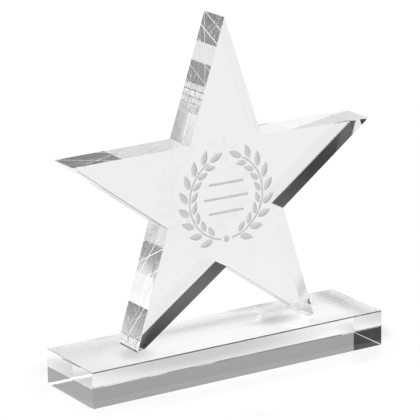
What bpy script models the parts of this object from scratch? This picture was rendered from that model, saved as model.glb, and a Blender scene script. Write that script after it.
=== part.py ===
"""Crystal award: a clear star plate standing on its two lower points on a clear rectangular block.

Metres, +Z up. The origin is the middle of the block's underside, +X runs along the block and the
engraved face of the star looks along -Y. Both blocks are cut from the same thickness of stock.
The lower points of the star are ground flat, and each is held by a thin film of clear adhesive.
"""

from math import cos, pi, radians, sin

import bmesh
import bpy
from mathutils import Vector

# Stock and base block
STOCK = 0.020
BASE_LENGTH = 0.185
BASE_DEPTH = 0.048
BASE_HEIGHT = STOCK

# Star plate
STAR_THICKNESS = STOCK
STAR_RADIUS = 0.098
STAR_WAIST = 0.0385
STAR_CENTRE_Z = 0.0967
STAR_POINTS = 5

# Polished edges
EDGE_CHAMFER = 0.0004
CHAMFER_SEGMENTS = 1
SHARP_ANGLE = radians(30)

# Adhesive joint under each foot: gap, film, gap
CLEARANCE = 0.0003
FILM_THICKNESS = 0.0004
FILM_INSET = 0.0003
FILM_CORNER = 0.0005
FILM_CORNER_SEGMENTS = 4
FOOT_Z = BASE_HEIGHT + FILM_THICKNESS + 2 * CLEARANCE

# Engraved wreath, centred on the star
ENGRAVING_DEPTH = 0.0002
CUTTER_OVERHANG = 0.001
WREATH_RADIUS = 0.0230
STEM_WIDTH = 0.0010
STEM_START = radians(-81)
STEM_END = radians(62)
STEM_STEPS = 24
LEAF_PAIRS = 8
FIRST_LEAF = radians(-70)
LAST_LEAF = radians(52)
LEAF_LENGTH = 0.0092
LEAF_WIDTH = 0.0036
INNER_LEAF_SCALE = 0.82
TIP_LEAF_SCALE = 1.05
LEAF_SPLAY = radians(35)
LEAF_STEPS = 8
LEAF_TAPER = 0.85
LEAF_GAP = 0.0006
KNOT_RADIUS = 0.0018
ROUND_STEPS = 16

# Engraved rules inside the wreath, in place of an inscription: height above centre, length
RULES = ((0.0080, 0.022), (0.0, 0.028), (-0.0080, 0.022))
RULE_WIDTH = 0.0013


def clear_scene():
    for obj in list(bpy.data.objects):
        bpy.data.objects.remove(obj, do_unlink=True)


def clear_material(name, colour, roughness, ior, transmission=1.0):
    material = bpy.data.materials.new(name)
    material.use_nodes = True
    shader = material.node_tree.nodes["Principled BSDF"]
    shader.inputs["Base Color"].default_value = (*colour, 1.0)
    shader.inputs["Roughness"].default_value = roughness
    shader.inputs["Metallic"].default_value = 0.0
    shader.inputs["IOR"].default_value = ior
    shader.inputs["Transmission Weight"].default_value = transmission
    return material


def prism(name, outlines, material, depth_axis, start, end):
    """An object with one closed prism for each outline.

    An outline is a list of 2-D points. It is raised along depth_axis from start to end; the other
    two axes, in X, Y, Z order, take the outline's coordinates.
    """
    flat_axes = [axis for axis in range(3) if axis != depth_axis]
    mesh = bpy.data.meshes.new(name)
    shape = bmesh.new()
    for outline in outlines:
        corners = []
        for point in outline:
            place = Vector((0.0, 0.0, 0.0))
            place[depth_axis] = start
            place[flat_axes[0]], place[flat_axes[1]] = point
            corners.append(shape.verts.new(place))
        face = shape.faces.new(corners)
        raised = bmesh.ops.extrude_face_region(shape, geom=[face])["geom"]
        travel = Vector((0.0, 0.0, 0.0))
        travel[depth_axis] = end - start
        moved = [item for item in raised if isinstance(item, bmesh.types.BMVert)]
        bmesh.ops.translate(shape, verts=moved, vec=travel)
    bmesh.ops.recalc_face_normals(shape, faces=shape.faces)
    shape.to_mesh(mesh)
    shape.free()
    mesh.materials.append(material)
    obj = bpy.data.objects.new(name, mesh)
    bpy.context.collection.objects.link(obj)
    return obj


def chamfer_edges(obj, width, segments):
    bevel = obj.modifiers.new("Polished edges", "BEVEL")
    bevel.width = width
    bevel.segments = segments
    bevel.limit_method = "ANGLE"
    bevel.angle_limit = SHARP_ANGLE


def polar(radius, angle):
    return Vector((radius * cos(angle), radius * sin(angle)))


def at_height(low, high, height):
    """The point at this height on the line from low to high."""
    return low.lerp(high, (height - low.y) / (high.y - low.y))


def star_outline():
    """The star in (x, z), clockwise from its top point, with its lower points cut off at FOOT_Z."""
    centre = Vector((0.0, STAR_CENTRE_Z))
    corners = []
    for index in range(2 * STAR_POINTS):
        radius = STAR_WAIST if index % 2 else STAR_RADIUS
        corners.append(centre + polar(radius, pi / 2 - index * pi / STAR_POINTS))
    outline = []
    for index, corner in enumerate(corners):
        if corner.y >= FOOT_Z:
            outline.append(corner)
            continue
        before = corners[index - 1]
        after = corners[(index + 1) % len(corners)]
        outline.append(at_height(corner, before, FOOT_Z))
        outline.append(at_height(corner, after, FOOT_Z))
    return outline


def foot_spans(outline):
    """The (low x, high x) of each flat foot, from left to right."""
    grounded = sorted(point.x for point in outline if abs(point.y - FOOT_Z) < CLEARANCE / 10)
    return [(grounded[0], grounded[1]), (grounded[2], grounded[3])]


def leaf(root, heading, length, width):
    """A pointed leaf from root along heading; a taper below one makes it fullest nearer its root."""
    forward = polar(1.0, heading)
    across = Vector((-forward.y, forward.x))
    right, left = [], []
    for step in range(LEAF_STEPS + 1):
        along = step / LEAF_STEPS
        spine = root + forward * (length * along)
        half = across * (width / 2 * sin(pi * along**LEAF_TAPER))
        right.append(spine - half)
        if 0 < step < LEAF_STEPS:
            left.append(spine + half)
    return right + left[::-1]


def stem():
    """The curved stem of the right-hand branch, as a narrow band."""
    outer, inner = [], []
    for step in range(STEM_STEPS + 1):
        angle = STEM_START + (STEM_END - STEM_START) * step / STEM_STEPS
        outer.append(polar(WREATH_RADIUS + STEM_WIDTH / 2, angle))
        inner.append(polar(WREATH_RADIUS - STEM_WIDTH / 2, angle))
    return outer + inner[::-1]


def branch():
    """Outlines of the right-hand branch about the wreath's centre: stem, leaf pairs and end leaf."""
    offset = STEM_WIDTH / 2 + LEAF_GAP
    outlines = [stem()]
    for pair in range(LEAF_PAIRS):
        angle = FIRST_LEAF + (LAST_LEAF - FIRST_LEAF) * pair / (LEAF_PAIRS - 1)
        onward = angle + pi / 2
        outer_root = polar(WREATH_RADIUS + offset, angle)
        inner_root = polar(WREATH_RADIUS - offset, angle)
        outlines.append(leaf(outer_root, onward - LEAF_SPLAY, LEAF_LENGTH, LEAF_WIDTH))
        inner_length = LEAF_LENGTH * INNER_LEAF_SCALE
        inner_width = LEAF_WIDTH * INNER_LEAF_SCALE
        outlines.append(leaf(inner_root, onward + LEAF_SPLAY, inner_length, inner_width))
    tip_angle = STEM_END + LEAF_GAP / WREATH_RADIUS
    tip_root = polar(WREATH_RADIUS, tip_angle)
    outlines.append(leaf(tip_root, tip_angle + pi / 2, LEAF_LENGTH * TIP_LEAF_SCALE, LEAF_WIDTH))
    return outlines


def round_bar(centre, length, width):
    """A level bar with half-round ends; with length equal to width it is a disc."""
    reach = (length - width) / 2
    outline = []
    for step in range(ROUND_STEPS + 2):
        side = 1 if step <= ROUND_STEPS // 2 else -1
        turn = step if side > 0 else step - 1
        angle = -pi / 2 + turn * 2 * pi / ROUND_STEPS
        outline.append(centre + Vector((side * reach, 0.0)) + polar(width / 2, angle))
    return outline


def disc(centre, radius):
    return [centre + polar(radius, step * 2 * pi / ROUND_STEPS) for step in range(ROUND_STEPS)]


def emblem_outlines():
    """Every engraved outline, in (x, z)."""
    right = branch()
    left = [[Vector((-point.x, point.y)) for point in outline] for outline in right]
    knot = disc(Vector((0.0, -WREATH_RADIUS)), KNOT_RADIUS)
    rules = [round_bar(Vector((0.0, height)), length, RULE_WIDTH) for height, length in RULES]
    centre = Vector((0.0, STAR_CENTRE_Z))
    return [[centre + point for point in outline] for outline in right + left + [knot] + rules]


def build_base(material):
    half_length, half_depth = BASE_LENGTH / 2, BASE_DEPTH / 2
    outline = [
        Vector((-half_length, -half_depth)),
        Vector((half_length, -half_depth)),
        Vector((half_length, half_depth)),
        Vector((-half_length, half_depth)),
    ]
    base = prism("base_block", [outline], material, depth_axis=2, start=0.0, end=BASE_HEIGHT)
    chamfer_edges(base, EDGE_CHAMFER, CHAMFER_SEGMENTS)


def build_star(material, frosted):
    outline = star_outline()
    front, back = -STAR_THICKNESS / 2, STAR_THICKNESS / 2
    star = prism("star_plate", [outline], material, depth_axis=1, start=front, end=back)
    chamfer_edges(star, EDGE_CHAMFER, CHAMFER_SEGMENTS)
    cutter = prism(
        "engraving_cutter",
        emblem_outlines(),
        frosted,
        depth_axis=1,
        start=front - CUTTER_OVERHANG,
        end=front + ENGRAVING_DEPTH,
    )
    cutter.hide_render = True
    cutter.display_type = "WIRE"
    engraving = star.modifiers.new("Engraving", "BOOLEAN")
    engraving.operation = "DIFFERENCE"
    engraving.solver = "EXACT"
    engraving.material_mode = "TRANSFER"
    engraving.object = cutter


def build_bonds(material):
    """The adhesive film under each foot, with small round corners where it has drawn in."""
    half_depth = STAR_THICKNESS / 2 - FILM_INSET
    bottom = BASE_HEIGHT + CLEARANCE
    for side, (low, high) in zip(("left", "right"), foot_spans(star_outline())):
        outline = [
            Vector((low + FILM_INSET, -half_depth)),
            Vector((high - FILM_INSET, -half_depth)),
            Vector((high - FILM_INSET, half_depth)),
            Vector((low + FILM_INSET, half_depth)),
        ]
        name = f"adhesive_film_{side}"
        top = bottom + FILM_THICKNESS
        film = prism(name, [outline], material, depth_axis=2, start=bottom, end=top)
        round_corners(film, FILM_CORNER)


def round_corners(obj, radius):
    """Rounds the upright edges."""
    shape = bmesh.new()
    shape.from_mesh(obj.data)
    upright = [
        edge
        for edge in shape.edges
        if abs(edge.verts[0].co.z - edge.verts[1].co.z) > FILM_THICKNESS / 2
    ]
    bmesh.ops.bevel(
        shape,
        geom=upright,
        offset=radius,
        segments=FILM_CORNER_SEGMENTS,
        profile=0.5,
        affect="EDGES",
    )
    shape.to_mesh(obj.data)
    shape.free()
    obj.data.shade_smooth()
    obj.data.set_sharp_from_angle(angle=SHARP_ANGLE)


def main():
    clear_scene()
    crystal = clear_material("Clear crystal", (0.96, 0.97, 0.97), roughness=0.01, ior=1.52)
    frosted = clear_material("Frosted engraving", (0.84, 0.85, 0.85), roughness=0.6, ior=1.52)
    adhesive = clear_material("Cured adhesive", (0.72, 0.73, 0.73), roughness=0.2, ior=1.5)
    build_base(crystal)
    build_star(crystal, frosted)
    build_bonds(adhesive)


main()
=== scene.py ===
"""Looks of the crystal award: a clear star plate with an engraved wreath, bonded to a clear block.

Metres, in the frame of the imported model: +Z up, +X along the block, the engraved face along -Y.
"""

from math import cos, pi, radians, sin, sqrt

import bmesh
import bpy
from mathutils import Matrix, Vector


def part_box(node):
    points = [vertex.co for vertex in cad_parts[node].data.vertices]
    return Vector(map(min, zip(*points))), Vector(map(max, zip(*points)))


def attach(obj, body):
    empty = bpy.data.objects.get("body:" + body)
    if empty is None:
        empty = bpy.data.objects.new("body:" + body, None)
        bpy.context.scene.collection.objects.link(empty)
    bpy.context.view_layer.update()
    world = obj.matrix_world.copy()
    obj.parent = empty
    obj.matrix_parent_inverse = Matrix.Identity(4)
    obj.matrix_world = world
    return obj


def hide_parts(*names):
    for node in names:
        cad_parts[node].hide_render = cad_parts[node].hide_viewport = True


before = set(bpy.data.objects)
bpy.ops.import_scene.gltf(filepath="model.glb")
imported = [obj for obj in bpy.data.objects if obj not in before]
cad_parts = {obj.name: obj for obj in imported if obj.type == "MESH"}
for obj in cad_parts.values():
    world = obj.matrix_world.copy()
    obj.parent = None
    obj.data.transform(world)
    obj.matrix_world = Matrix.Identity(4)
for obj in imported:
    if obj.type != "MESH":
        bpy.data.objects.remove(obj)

# Camera: a long lens from the left and a little above, turned very slightly
CAMERA_TARGET = Vector((-0.0040, 0.0, 0.0879))
CAMERA_AZIMUTH = radians(-32.31)
CAMERA_ELEVATION = radians(16.12)
CAMERA_ROLL = radians(-0.59)
CAMERA_DISTANCE = 1.4613
LENS = 234.1
SENSOR = 36.0

# Star plate, the same outline as the CAD node
STAR_RADIUS = 0.098
STAR_WAIST = 0.0385
STAR_CENTRE_Z = 0.0967
STAR_POINTS = 5

# Polished edges and faces
STAR_CHAMFER = 0.00025
BASE_CHAMFER = 0.0005
SHORT_CHAMFER_SHARE = 0.4
LOWER_BACK_CHAMFER_SHARE = 0.6
LEG_CHAMFER_SHARE = 0.5
SAME_PLACE = 0.00001
PARALLEL = 0.99

# Crystal: its index, its tints, and its wipe marks and waviness, with their noise scales
CRYSTAL_IOR = 1.52
BASE_TINT = 1.0
# The star's darker tint is painted shade; it is the same crystal as the base
STAR_SHADED_TINT = 0.83
WIPE_SCALE = 55.0
WIPE_LEVELS = (0.55, 0.80)
WIPE_ROUGHNESS = 0.03
WAVINESS = 0.000004
WAVE_SCALE = 45.0

# Engraved wreath and rules, centred on the star
ENGRAVING_DEPTH = 0.0002
CUTTER_OVERHANG = 0.001
WREATH_RADIUS = 0.0230
STEM_WIDTH = 0.0010
STEM_START = radians(-81)
STEM_END = radians(62)
STEM_STEPS = 48
LEAF_PAIRS = 8
FIRST_LEAF = radians(-70)
LAST_LEAF = radians(52)
LEAF_LENGTH = 0.0092
LEAF_WIDTH = 0.0036
INNER_LEAF_SCALE = 0.82
TIP_LEAF_SCALE = 1.05
LEAF_SPLAY = radians(35)
LEAF_TAPER = 0.85
LEAF_STEPS = 12
LEAF_GAP = 0.0006
KNOT_RADIUS = 0.0018
RULES = ((0.0080, 0.022), (0.0, 0.028), (-0.0080, 0.022))
RULE_WIDTH = 0.0013
ROUND_STEPS = 16

# Grey infill in the engraving: its clearance, its section from one edge to the other, its painted
# shade
INFILL_GAP = 0.00002
INFILL_EDGE_DEPTH = 0.00003
INFILL_GROOVE_DEPTH = 0.00014
INFILL_COLUMNS = (-1.0, -0.72, 0.0, 0.72, 1.0)
# Painted shade falls on the side facing this way, as if lit from the upper left, and along the rims
INFILL_SHADED_TOWARDS = Vector((0.8, -0.6))
INFILL_MIDDLE_SHADE = 0.25
INFILL_SLOPE_SHADE = 0.35
INFILL_RIM_SHADE = 0.4
INFILL_GREYS = ((0.0, 0.82), (0.5, 0.62), (1.0, 0.25))
INFILL_ROUGHNESS = (0.55, 0.75)
SPECKLE_SCALE = 2500.0
SPECKLE_LEVELS = (0.3, 0.7)
SPECKLE_DEPTH = 0.05

# Adhesive under each foot. A ripple is its share of the width, its rate and its phase.
FILM_GAP = 0.00004
FILM_SPREAD = 0.0002
FILM_ROWS = 24
FILM_WAIST = 0.25
FILM_RIPPLES = ((0.03, 17.0, 0.0), (0.02, 41.0, 1.0))
FILM_END_PULL = 0.2
FILM_END_POWER = 8
BOND_IOR = 1.003
BOND_GREYS = ((0.0, 0.94), (1.0, 1.0))
BOND_SCALE = 300.0
# Darker along the left film's outer side, with a ragged edge; the pinhole bubbles are darker too
DARKENING_EDGE = 0.0001
RAGGED_EDGE_SCALE = 900.0
DARKENING_GREYS = ((0.0, 0.96), (1.0, 0.10))
PINHOLE_SCALE = 900.0
PINHOLE_RADII = (0.06, 0.10)
PINHOLE_DARKNESS = 0.12

# Studio
MOST_BOUNCES = 40
FLOOR_HALF = 30.0
FLOOR_DROP = 0.00015
FLOOR_WHITE = 0.30
# The floor's glow near the award and far off, and the distances between which it falls
FLOOR_GLOW = 0.695
FAR_FLOOR_GLOW = 0.12
FLOOR_FALL_OFF = (1.2, 3.0)
FLOOR_ROUGHNESS = 0.05
# Soft patches painted into the floor's glow, as centre, reach and depth: painted shade behind the
# block, at its right end and at each foot; painted light under the clear block, at its right end and
# in front
PAINTED_GLOW_PATCHES = (
    ((0.004, 0.042, 0.0), (0.108, 0.029, 1.0), 0.37),
    ((0.100, 0.013, 0.0), (0.018, 0.036, 1.0), 0.38),
    ((0.045, 0.009, 0.0), (0.022, 0.011, 1.0), 0.42),
    ((-0.050, 0.004, 0.0), (0.015, 0.013, 1.0), 0.30),
    ((0.0, 0.0, 0.0), (0.120, 0.033, 1.0), -0.30),
    ((0.082, 0.008, 0.0), (0.028, 0.030, 1.0), -0.18),
    ((0.075, -0.130, 0.0), (0.120, 0.080, 1.0), -0.35),
)
PAINTED_PATCH_CORE = 0.2

# Sky brightness against elevation in degrees: white sweep, grey wall, bright ceiling
SKY = (
    (0.0, 1.0),
    (1.8, 1.0),
    (2.2, 0.60),
    (3.3, 0.80),
    (3.6, 0.28),
    (6.5, 0.30),
    (9.0, 0.40),
    (14.0, 0.40),
    (27.0, 0.24),
    (30.0, 0.24),
    (33.1, 0.58),
    (33.4, 0.62),
    (33.6, 1.0),
    (34.0, 1.15),
    (36.0, 1.45),
    (50.0, 1.6),
    (90.0, 1.6),
)
# Dark cards that draw the dark edges. Sides are slopes, sideways over depth; heights are degrees.
LEAST_DEPTH = 0.0001
CARD_BLACK = 0.02
CARD_SOFTNESS = (0.03, 0.6)
LOW_CARD_SIDES = (-0.90, -0.50)
LOW_CARD_HEIGHTS = (0.98, 2.1)
LOW_CARD_SOFTNESS = (0.05, 0.25)
LOW_CARD_STRENGTH = 0.66
CORNER_CARD_SIDES = (0.93, 1.80)
CORNER_CARD_HEIGHTS = (42.0, 54.0)
ARRIS_CARD_SIDES = (1.10, 1.60)
ARRIS_CARD_HEIGHTS = (5.0, 9.0)
ARRIS_CARD_STRENGTH = 0.5
LEFT_CARD_SIDES = (-1.15, 0.0)
LEFT_CARD_HEIGHTS = (3.3, 25.0)
LEFT_CARD_EDGE = -0.79
LEFT_CARD_LEAN = 0.30
LEFT_CARD_SOFTNESS = 0.015
TOP_CARD_SIDES = (-0.27, 0.12)
TOP_CARD_HEIGHTS = (3.3, 54.0)
TOP_CARD_EDGE = 0.764
TOP_CARD_LEAN = 0.42
TOP_CARD_SOFTNESS = 0.006
TOP_CARD_GREY = 0.06
TOP_CARD_FOLDS = 0.05
FOLD_RATE = 98.0
FOLD_PHASE = 3.655


def add_node(tree, kind, **settings):
    node = tree.nodes.new(kind)
    for name, value in settings.items():
        setattr(node, name, value)
    return node


def feed(tree, socket, value):
    """Sets a socket to a plain value, or links it to another node's output."""
    if isinstance(value, bpy.types.NodeSocket):
        tree.links.new(value, socket)
    else:
        socket.default_value = value


def maths(tree, operation, *values):
    node = add_node(tree, "ShaderNodeMath", operation=operation)
    for socket, value in zip(node.inputs, values):
        feed(tree, socket, value)
    return node.outputs[0]


def step_between(tree, value, start, end, low=0.0, high=1.0):
    """Goes smoothly from low, where value is start, to high, where it is end."""
    node = add_node(tree, "ShaderNodeMapRange", interpolation_type="SMOOTHSTEP")
    settings = {"Value": value, "From Min": start, "From Max": end, "To Min": low, "To Max": high}
    for name, setting in settings.items():
        feed(tree, node.inputs[name], setting)
    return node.outputs[0]


def blend(tree, factor, first, second):
    node = add_node(tree, "ShaderNodeMix", data_type="FLOAT")
    for name, value in (("Factor", factor), ("A", first), ("B", second)):
        feed(tree, node.inputs[name], value)
    return node.outputs[0]


def band(tree, value, low, high, softness):
    """One between low and high, with an edge of this softness at each end."""
    rising = step_between(tree, value, low - softness, low + softness)
    falling = step_between(tree, value, high - softness, high + softness, 1.0, 0.0)
    return maths(tree, "MULTIPLY", rising, falling)


def object_place(tree):
    """The place on the object, in its own space, where one unit is a metre."""
    return add_node(tree, "ShaderNodeTexCoord").outputs["Object"]


def split_vector(tree, vector):
    node = add_node(tree, "ShaderNodeSeparateXYZ")
    tree.links.new(vector, node.inputs[0])
    return node.outputs


def length_of(tree, vector):
    node = add_node(tree, "ShaderNodeVectorMath", operation="LENGTH")
    tree.links.new(vector, node.inputs[0])
    return node.outputs["Value"]


def noise(tree, scale, detail=2.0):
    """A noise texture in object space."""
    texture = add_node(tree, "ShaderNodeTexNoise")
    texture.inputs["Scale"].default_value = scale
    texture.inputs["Detail"].default_value = detail
    tree.links.new(object_place(tree), texture.inputs["Vector"])
    return texture.outputs["Fac"]


def grey(level):
    return (level, level, level)


def grey_ramp(tree, value, stops):
    """Turns a value from 0 to 1 into a grey, by way of (value, grey level) pairs."""
    ramp = add_node(tree, "ShaderNodeValToRGB")
    tree.links.new(value, ramp.inputs[0])
    elements = ramp.color_ramp.elements
    while len(elements) < len(stops):
        elements.new(0.5)
    for element, (position, level) in zip(elements, stops):
        element.position = position
        element.color = (*grey(level), 1.0)
    return ramp.outputs["Color"]


def sky_against_elevation(tree, elevation):
    """The brightness of the plain studio, read from SKY."""
    highest = SKY[-1][0]
    brightest = max(level for _, level in SKY)
    stops = [(angle / highest, level / brightest) for angle, level in SKY]
    ramp = grey_ramp(tree, maths(tree, "DIVIDE", elevation, highest), stops)
    return maths(tree, "MULTIPLY", ramp, brightest)


def card(tree, sideways, sides, elevation, heights, softness=CARD_SOFTNESS):
    """One inside the card with these sides and heights, with edges this soft."""
    across = band(tree, sideways, *sides, softness[0])
    return maths(tree, "MULTIPLY", across, band(tree, elevation, *heights, softness[1]))


def leaning_edge(tree, value, slope, lean, edge, softness):
    """Goes from zero to one where value passes the leaning line edge + lean * slope."""
    line = maths(tree, "MULTIPLY_ADD", slope, lean, edge)
    return step_between(tree, maths(tree, "SUBTRACT", value, line), -softness, softness)


def build_world():
    """A studio that is the same in front and behind: sweep, wall, ceiling and dark cards."""
    world = bpy.data.worlds.new("Studio")
    bpy.context.scene.world = world
    world.use_nodes = True
    tree = world.node_tree
    direction = add_node(tree, "ShaderNodeTexCoord").outputs["Generated"]
    x, y, z = split_vector(tree, direction)
    elevation = maths(tree, "MULTIPLY", maths(tree, "ARCSINE", z), 180 / pi)
    depth = maths(tree, "MAXIMUM", maths(tree, "ABSOLUTE", y), LEAST_DEPTH)
    sideways = maths(tree, "DIVIDE", x, depth)
    upwards = maths(tree, "DIVIDE", z, depth)

    either_side = maths(tree, "ABSOLUTE", sideways)
    corner = card(tree, either_side, CORNER_CARD_SIDES, elevation, CORNER_CARD_HEIGHTS)
    arris = card(tree, sideways, ARRIS_CARD_SIDES, elevation, ARRIS_CARD_HEIGHTS)
    arris = maths(tree, "MULTIPLY", arris, ARRIS_CARD_STRENGTH)
    low = card(tree, sideways, LOW_CARD_SIDES, elevation, LOW_CARD_HEIGHTS, LOW_CARD_SOFTNESS)
    low = maths(tree, "MULTIPLY", low, LOW_CARD_STRENGTH)
    left = card(tree, sideways, LEFT_CARD_SIDES, elevation, LEFT_CARD_HEIGHTS)
    left_edge = (LEFT_CARD_LEAN, LEFT_CARD_EDGE, LEFT_CARD_SOFTNESS)
    inside = leaning_edge(tree, sideways, upwards, *left_edge)
    left = maths(tree, "MULTIPLY", left, maths(tree, "SUBTRACT", 1.0, inside))
    black = maths(tree, "MAXIMUM", corner, arris)
    black = maths(tree, "MAXIMUM", black, low)
    black = maths(tree, "MAXIMUM", black, left)

    top = card(tree, sideways, TOP_CARD_SIDES, elevation, TOP_CARD_HEIGHTS)
    top_edge = (TOP_CARD_LEAN, TOP_CARD_EDGE, TOP_CARD_SOFTNESS)
    above = leaning_edge(tree, upwards, sideways, *top_edge)
    top = maths(tree, "MULTIPLY", top, above)
    turn = maths(tree, "MULTIPLY_ADD", sideways, FOLD_RATE, FOLD_PHASE)
    folds = maths(tree, "MULTIPLY_ADD", maths(tree, "SINE", turn), TOP_CARD_FOLDS, TOP_CARD_GREY)

    sky = blend(tree, black, sky_against_elevation(tree, elevation), CARD_BLACK)
    sky = blend(tree, top, sky, folds)
    tree.links.new(sky, tree.nodes["Background"].inputs["Color"])


def build_camera():
    data = bpy.data.cameras.new("Camera")
    data.lens = LENS
    data.sensor_width = SENSOR
    data.clip_end = 4 * FLOOR_HALF
    camera = bpy.data.objects.new("Camera", data)
    bpy.context.collection.objects.link(camera)
    level = Vector((sin(CAMERA_AZIMUTH), -cos(CAMERA_AZIMUTH), 0.0)) * cos(CAMERA_ELEVATION)
    back = level + Vector((0.0, 0.0, sin(CAMERA_ELEVATION)))
    right = Vector((0.0, 0.0, 1.0)).cross(back).normalized()
    up = back.cross(right)
    axes = Matrix((right, up, back)).transposed().to_4x4()
    place = Matrix.Translation(CAMERA_TARGET + back * CAMERA_DISTANCE)
    camera.matrix_world = place @ axes @ Matrix.Rotation(CAMERA_ROLL, 4, "Z")
    bpy.context.scene.camera = camera


def new_material(name):
    """A material with nodes, its tree and its Principled shader's inputs."""
    material = bpy.data.materials.new(name)
    material.use_nodes = True
    tree = material.node_tree
    return material, tree, tree.nodes["Principled BSDF"].inputs


def set_inputs(tree, inputs, values):
    for name, value in values.items():
        if isinstance(value, tuple):
            value = (*value, 1.0)
        feed(tree, inputs[name], value)


def painted_glow_patch(tree, centre, reach, depth):
    """A soft elliptical patch of painted shade in the floor's glow, deepest at its centre; a negative
    depth paints light.
    """
    place = add_node(tree, "ShaderNodeMapping", vector_type="TEXTURE")
    place.inputs["Location"].default_value = centre
    place.inputs["Scale"].default_value = reach
    tree.links.new(object_place(tree), place.inputs[0])
    distance = length_of(tree, place.outputs[0])
    return step_between(tree, distance, PAINTED_PATCH_CORE, 1.0, depth, 0.0)


def floor_material():
    """White acrylic that glows as if lit from below, with painted shade and painted light in soft
    patches near the award.

    Far from the award it is lit less, because there it mirrors the bright horizon.
    """
    material, tree, inputs = new_material("White sweep")
    distance = length_of(tree, object_place(tree))
    glow = step_between(tree, distance, *FLOOR_FALL_OFF, FLOOR_GLOW, FAR_FLOOR_GLOW)
    # Painted shade and painted light: soft patches taken from the glow
    for patch in PAINTED_GLOW_PATCHES:
        glow = maths(tree, "SUBTRACT", glow, painted_glow_patch(tree, *patch))
    set_inputs(tree, inputs, {
        "Base Color": grey(FLOOR_WHITE),
        "Roughness": FLOOR_ROUGHNESS,
        "Emission Color": grey(1.0),
        "Emission Strength": glow,
    })
    return material


def build_floor():
    half = FLOOR_HALF
    mesh = bpy.data.meshes.new("floor")
    corners = [(-half, -half, 0.0), (half, -half, 0.0), (half, half, 0.0), (-half, half, 0.0)]
    mesh.from_pydata(corners, [], [(0, 1, 2, 3)])
    mesh.materials.append(floor_material())
    floor = bpy.data.objects.new("floor", mesh)
    floor.location.z = -FLOOR_DROP
    bpy.context.collection.objects.link(floor)


def crystal_material(name, tint):
    """Clear polished stock, with faint wipe marks and the slight waviness of hand-polished faces."""
    material, tree, inputs = new_material(name)
    smudges = noise(tree, WIPE_SCALE, detail=5.0)
    wipes = step_between(tree, smudges, *WIPE_LEVELS, 0.0, WIPE_ROUGHNESS)
    bump = add_node(tree, "ShaderNodeBump")
    bump.inputs["Strength"].default_value = 1.0
    bump.inputs["Distance"].default_value = WAVINESS
    tree.links.new(noise(tree, WAVE_SCALE, detail=1.0), bump.inputs["Height"])
    set_inputs(tree, inputs, {
        "Base Color": tint,
        "Roughness": wipes,
        "IOR": CRYSTAL_IOR,
        "Transmission Weight": 1.0,
        "Normal": bump.outputs["Normal"],
    })
    return material


def infill_material():
    """Matt grey infill with painted shade, darker where the groove turns from the light, as the
    mesh's shade attribute says.
    """
    material, tree, inputs = new_material("Engraving infill")
    shade = add_node(tree, "ShaderNodeAttribute", attribute_name="shade").outputs["Fac"]
    grain = noise(tree, SPECKLE_SCALE, detail=3.0)
    speckle = step_between(tree, grain, *SPECKLE_LEVELS, -SPECKLE_DEPTH, SPECKLE_DEPTH)
    # Painted shade plus a speckle of real grain
    shade_and_speckle = maths(tree, "ADD", shade, speckle)
    set_inputs(tree, inputs, {
        "Base Color": grey_ramp(tree, shade_and_speckle, INFILL_GREYS),
        "Roughness": step_between(tree, shade_and_speckle, 0.0, 1.0, *INFILL_ROUGHNESS),
    })
    return material


def bonded_material():
    """A face wetted by adhesive of the crystal's own index, so light goes straight through it."""
    material, tree, inputs = new_material("Bonded face")
    smears = noise(tree, BOND_SCALE, detail=3.0)
    set_inputs(tree, inputs, {
        "Base Color": grey_ramp(tree, smears, BOND_GREYS),
        "Roughness": 0.0,
        "IOR": BOND_IOR,
        "Transmission Weight": 1.0,
    })
    return material


def adhesive_material(name, darkened_below_x):
    """Clear cured adhesive with pinhole bubbles, darker wherever x is less than about
    darkened_below_x.
    """
    material, tree, inputs = new_material(name)
    place = object_place(tree)
    bubbles = add_node(tree, "ShaderNodeTexVoronoi")
    bubbles.inputs["Scale"].default_value = PINHOLE_SCALE
    tree.links.new(place, bubbles.inputs["Vector"])
    to_bubble = bubbles.outputs["Distance"]
    pinholes = step_between(tree, to_bubble, *PINHOLE_RADII, PINHOLE_DARKNESS, 0.0)
    x = split_vector(tree, place)[0]
    ragged = maths(tree, "MULTIPLY_ADD", noise(tree, RAGGED_EDGE_SCALE), DARKENING_EDGE, x)
    darkened = step_between(tree, ragged, darkened_below_x + 2 * DARKENING_EDGE, darkened_below_x + DARKENING_EDGE)
    darkening = maths(tree, "MAXIMUM", darkened, pinholes)
    set_inputs(tree, inputs, {
        "Base Color": grey_ramp(tree, darkening, DARKENING_GREYS),
        "Roughness": 0.0,
        "IOR": BOND_IOR,
        "Transmission Weight": 1.0,
    })
    return material


def prism(name, outlines, material, start, end):
    """An object with one closed prism for each (x, z) outline, from y = start to y = end."""
    shape = bmesh.new()
    for outline in outlines:
        face = shape.faces.new([shape.verts.new((x, start, z)) for x, z in outline])
        raised = bmesh.ops.extrude_face_region(shape, geom=[face])["geom"]
        moved = [item for item in raised if isinstance(item, bmesh.types.BMVert)]
        bmesh.ops.translate(shape, verts=moved, vec=(0.0, end - start, 0.0))
    return finish_mesh(shape, name, material)


def finish_mesh(shape, name, material):
    bmesh.ops.recalc_face_normals(shape, faces=shape.faces)
    mesh = bpy.data.meshes.new(name)
    shape.to_mesh(mesh)
    shape.free()
    mesh.materials.append(material)
    obj = bpy.data.objects.new(name, mesh)
    bpy.context.collection.objects.link(obj)
    return obj


def skin_rings(shape, rings):
    """Joins rings of vertices in order and closes both ends."""
    for near, far in zip(rings, rings[1:]):
        for index in range(len(near)):
            following = (index + 1) % len(near)
            shape.faces.new((near[index], near[following], far[following], far[index]))
    shape.faces.new(rings[0])
    shape.faces.new(rings[-1])


def polar(radius, angle):
    return Vector((radius * cos(angle), radius * sin(angle)))


def at_height(low, high, height):
    """The point at this height on the line from low to high."""
    return low.lerp(high, (height - low.y) / (high.y - low.y))


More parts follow.
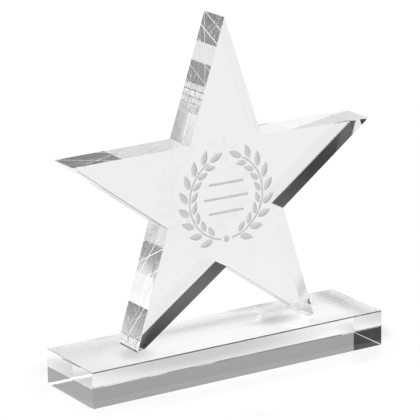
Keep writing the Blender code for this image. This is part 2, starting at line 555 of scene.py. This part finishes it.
def star_outline(foot_z):
    """The star in (x, z), clockwise from its top point, with its lower points cut off at foot_z."""
    centre = Vector((0.0, STAR_CENTRE_Z))
    corners = []
    for index in range(2 * STAR_POINTS):
        radius = STAR_WAIST if index % 2 else STAR_RADIUS
        corners.append(centre + polar(radius, pi / 2 - index * pi / STAR_POINTS))
    outline = []
    for index, corner in enumerate(corners):
        if corner.y >= foot_z:
            outline.append(corner)
            continue
        outline.append(at_height(corner, corners[index - 1], foot_z))
        outline.append(at_height(corner, corners[(index + 1) % len(corners)], foot_z))
    return outline


# An engraved stroke is a list of (middle, half-width vector) pairs in (x, z) about the star's
# centre. The cutter and the infill are both made from it.


def leaf(root, heading, length, width):
    """A pointed leaf from root along heading, fullest a little nearer its root."""
    forward = polar(1.0, heading)
    across = Vector((-forward.y, forward.x))
    stroke = []
    for step in range(LEAF_STEPS + 1):
        along = step / LEAF_STEPS
        half = across * (width / 2 * sin(pi * along**LEAF_TAPER))
        stroke.append((root + forward * (length * along), half))
    return stroke


def stem():
    """The curved stem of the right-hand branch."""
    stroke = []
    for step in range(STEM_STEPS + 1):
        angle = STEM_START + (STEM_END - STEM_START) * step / STEM_STEPS
        stroke.append((polar(WREATH_RADIUS, angle), polar(STEM_WIDTH / 2, angle)))
    return stroke


def branch():
    """The right-hand branch: stem, leaf pairs and end leaf."""
    offset = STEM_WIDTH / 2 + LEAF_GAP
    strokes = [stem()]
    for pair in range(LEAF_PAIRS):
        angle = FIRST_LEAF + (LAST_LEAF - FIRST_LEAF) * pair / (LEAF_PAIRS - 1)
        for side, scale in ((1, 1.0), (-1, INNER_LEAF_SCALE)):
            root = polar(WREATH_RADIUS + side * offset, angle)
            heading = angle + pi / 2 - side * LEAF_SPLAY
            strokes.append(leaf(root, heading, LEAF_LENGTH * scale, LEAF_WIDTH * scale))
    tip_angle = STEM_END + LEAF_GAP / WREATH_RADIUS
    tip_root = polar(WREATH_RADIUS, tip_angle)
    strokes.append(leaf(tip_root, tip_angle + pi / 2, LEAF_LENGTH * TIP_LEAF_SCALE, LEAF_WIDTH))
    return strokes


def round_bar(centre, length, width):
    """A level bar with half-round ends; with length equal to width it is a disc."""
    reach = (length - width) / 2
    stroke = []
    for step in range(ROUND_STEPS + 1):
        angle = pi - pi * step / ROUND_STEPS
        end = reach if 2 * step > ROUND_STEPS else -reach
        middle = centre + Vector((end + width / 2 * cos(angle), 0.0))
        stroke.append((middle, Vector((0.0, width / 2 * sin(angle)))))
        if 2 * step == ROUND_STEPS and reach:
            stroke.append((centre + Vector((reach, 0.0)), Vector((0.0, width / 2))))
    return stroke


def mirrored(stroke):
    return [(Vector((-middle.x, middle.y)), Vector((-half.x, half.y))) for middle, half in stroke]


def engraved_strokes():
    right = branch()
    left = [mirrored(stroke) for stroke in right]
    knot = round_bar(Vector((0.0, -WREATH_RADIUS)), 2 * KNOT_RADIUS, 2 * KNOT_RADIUS)
    rules = [round_bar(Vector((0.0, height)), length, RULE_WIDTH) for height, length in RULES]
    return right + left + [knot] + rules


def is_point(half):
    return half.length < INFILL_GAP


def outline_of(stroke):
    """The stroke's outline in the frame's (x, z)."""
    centre = Vector((0.0, STAR_CENTRE_Z))
    right = [centre + middle - half for middle, half in stroke]
    left = [centre + middle + half for middle, half in stroke if not is_point(half)]
    return right + left[::-1]


def infill_rings(shape, shade, stroke, front):
    """One ring of vertices for each step of the stroke: a shallow groove in front, flat behind."""
    centre = Vector((0.0, STAR_CENTRE_Z))
    back = front + ENGRAVING_DEPTH - INFILL_GAP
    steps = [(middle, half) for middle, half in stroke if half.length > 2 * INFILL_GAP]
    inward = INFILL_GAP * (steps[1][0] - steps[0][0]).normalized()
    outward = INFILL_GAP * (steps[-1][0] - steps[-2][0]).normalized()
    shifts = [Vector((0.0, 0.0))] * len(steps)
    shifts[0] = inward
    shifts[-1] = -outward
    section = [(column, front + infill_depth(column)) for column in INFILL_COLUMNS]
    section += [(1.0, back), (-1.0, back)]
    rings = []
    for (middle, half), shift in zip(steps, shifts):
        reach = half * (1 - INFILL_GAP / half.length)
        ring = []
        for column, y in section:
            x, z = centre + middle + shift + reach * column
            vertex = shape.verts.new((x, y, z))
            # Painted shade, which the infill's colour reads
            vertex[shade] = painted_infill_shade(half, column)
            ring.append(vertex)
        rings.append(ring)
    return rings


def infill_depth(column):
    """How far the infill's front lies behind the star's face, deepest in the middle."""
    groove = INFILL_GROOVE_DEPTH - INFILL_EDGE_DEPTH
    return INFILL_EDGE_DEPTH + groove * (1 - abs(column))


def painted_infill_shade(half, column):
    """Painted shade, from 0 on the lit slope of the groove to 1 along its far edge."""
    facing = column * half.normalized().dot(INFILL_SHADED_TOWARDS.normalized())
    rim = INFILL_RIM_SHADE if abs(column) == 1.0 else 0.0
    return min(1.0, max(0.0, INFILL_MIDDLE_SHADE + INFILL_SLOPE_SHADE * facing + rim))


def apply_modifiers(obj):
    graph = bpy.context.evaluated_depsgraph_get()
    mesh = bpy.data.meshes.new_from_object(obj.evaluated_get(graph))
    obj.modifiers.clear()
    obj.data = mesh


def chamfer_edges(obj, width, weigh):
    """Chamfers the edges. Each one's share of the width is weigh(its middle, its direction)."""
    mesh = obj.data
    weights = mesh.attributes.new("bevel_weight_edge", "FLOAT", "EDGE")
    for edge in mesh.edges:
        first, second = (mesh.vertices[index].co for index in edge.vertices)
        share = weigh((first + second) / 2, (second - first).normalized())
        weights.data[edge.index].value = share
    bevel = obj.modifiers.new("Polished edges", "BEVEL")
    bevel.width = width
    bevel.segments = 1
    bevel.limit_method = "WEIGHT"


def star_edge_share(middle, _direction):
    """The legs' edges have a narrower chamfer than the arms'."""
    return 1.0 if middle.z > STAR_CENTRE_Z - STAR_WAIST else LEG_CHAMFER_SHARE


def base_edge_share(middle, direction):
    """The long top edges have the full chamfer, and the long lower back edge more than the others."""
    low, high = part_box("base_block")
    upper = middle.z > (low.z + high.z) / 2
    if abs(direction.x) < PARALLEL:
        return SHORT_CHAMFER_SHARE
    if upper:
        return 1.0
    return LOWER_BACK_CHAMFER_SHARE if middle.y > 0 else SHORT_CHAMFER_SHARE


def mark_bonded(obj, bonded, height):
    """Gives the level faces at this height, inside the bonded span, the bonded material."""
    x0, x1, y0, y1 = bonded_span()
    obj.data.materials.append(bonded)
    for face in obj.data.polygons:
        x, y, z = face.center
        level = abs(z - height) < SAME_PLACE and abs(face.normal.z) > PARALLEL
        if level and x0 < x < x1 and y0 < y < y1:
            face.material_index = 1


def bonded_span():
    """The (x0, x1, y0, y1) of the right foot. The left foot's film has let air in."""
    low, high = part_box("star_plate")
    film_low, film_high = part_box("adhesive_film_right")
    return film_low.x, film_high.x, low.y + STAR_CHAMFER, high.y - STAR_CHAMFER


def build_star(crystal, bonded):
    low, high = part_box("star_plate")
    star = prism("crystal_star", [star_outline(low.z)], crystal, low.y, high.y)
    chamfer_edges(star, STAR_CHAMFER, star_edge_share)
    outlines = [outline_of(stroke) for stroke in engraved_strokes()]
    pocket = low.y + ENGRAVING_DEPTH
    cutter = prism("engraving_cutter", outlines, crystal, low.y - CUTTER_OVERHANG, pocket)
    engraving = star.modifiers.new("Engraving", "BOOLEAN")
    engraving.solver = "EXACT"
    engraving.object = cutter
    apply_modifiers(star)
    bpy.data.objects.remove(cutter, do_unlink=True)
    mark_bonded(star, bonded, low.z)
    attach(star, "root")
    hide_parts("star_plate")


def build_infill(material):
    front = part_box("star_plate")[0].y
    shape = bmesh.new()
    shade = shape.verts.layers.float.new("shade")
    for stroke in engraved_strokes():
        skin_rings(shape, infill_rings(shape, shade, stroke, front))
    infill = finish_mesh(shape, "engraving_infill", material)
    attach(infill, "root")


def score_mesh(mesh):
    """Cuts the faces along the sides of the bonded span without changing the shape."""
    x0, x1, y0, y1 = bonded_span()
    shape = bmesh.new()
    shape.from_mesh(mesh)
    planes = [(Vector((x, 0, 0)), Vector((1, 0, 0))) for x in (x0, x1)]
    planes += [(Vector((0, y, 0)), Vector((0, 1, 0))) for y in (y0, y1)]
    for point, normal in planes:
        everything = shape.verts[:] + shape.edges[:] + shape.faces[:]
        bmesh.ops.bisect_plane(shape, geom=everything, plane_co=point, plane_no=normal)
    shape.to_mesh(mesh)
    shape.free()


def build_base(crystal, bonded):
    low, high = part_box("base_block")
    outline = [(low.x, low.z), (low.x, high.z), (high.x, high.z), (high.x, low.z)]
    base = prism("crystal_base", [outline], crystal, low.y, high.y)
    chamfer_edges(base, BASE_CHAMFER, base_edge_share)
    apply_modifiers(base)
    score_mesh(base.data)
    mark_bonded(base, bonded, high.z)
    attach(base, "root")
    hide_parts("base_block")


def film_ring(shape, x, y, half, bottom, top):
    """A section of the film at this y, with sides drawn in between foot and block."""
    waist = half - (top - bottom) * FILM_WAIST
    middle = (bottom + top) / 2
    left_side = [(-half, bottom), (-waist, middle), (-half, top)]
    right_side = [(half, top), (waist, middle), (half, bottom)]
    return [shape.verts.new((x + across, y, z)) for across, z in left_side + right_side]


def film_fullness(along):
    """The film's share of its plain width, at this share of its length."""
    ripple = 1 + sum(share * sin(rate * along + phase) for share, rate, phase in FILM_RIPPLES)
    rounding = sqrt(max(0.0, 1 - (2 * along - 1) ** FILM_END_POWER))
    return ripple * (1 - FILM_END_PULL + FILM_END_PULL * rounding)


def build_film(side, material):
    node = f"adhesive_film_{side}"
    low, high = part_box(node)
    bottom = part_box("base_block")[1].z + FILM_GAP
    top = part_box("star_plate")[0].z - FILM_GAP
    middle = (low.x + high.x) / 2
    plain_half = (high.x - low.x) / 2 + FILM_SPREAD
    shape = bmesh.new()
    rings = []
    for row in range(FILM_ROWS + 1):
        along = row / FILM_ROWS
        y = low.y + (high.y - low.y) * along
        half = plain_half * film_fullness(along)
        rings.append(film_ring(shape, middle, y, half, bottom, top))
    skin_rings(shape, rings)
    film = finish_mesh(shape, f"adhesive_{side}", material)
    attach(film, "root")
    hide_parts(node)


def set_render():
    """True colours and enough bounces for light that is reflected many times inside a point."""
    scene = bpy.context.scene
    scene.view_settings.view_transform = "Standard"
    scene.cycles.max_bounces = MOST_BOUNCES
    scene.cycles.transmission_bounces = MOST_BOUNCES
    scene.cycles.glossy_bounces = MOST_BOUNCES


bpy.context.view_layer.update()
build_camera()
build_world()
build_floor()
bonded = bonded_material()
build_base(crystal_material("Base crystal", grey(BASE_TINT)), bonded)
# The star's darker tint is painted shade
build_star(crystal_material("Star crystal", grey(STAR_SHADED_TINT)), bonded)
build_infill(infill_material())
# The darkening is along the left film's outer side, which the right film is far from, so it stays
# clear
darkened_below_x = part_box("adhesive_film_left")[0].x
build_film("left", adhesive_material("Darkened adhesive", darkened_below_x))
build_film("right", adhesive_material("Clear adhesive", darkened_below_x))
set_render()
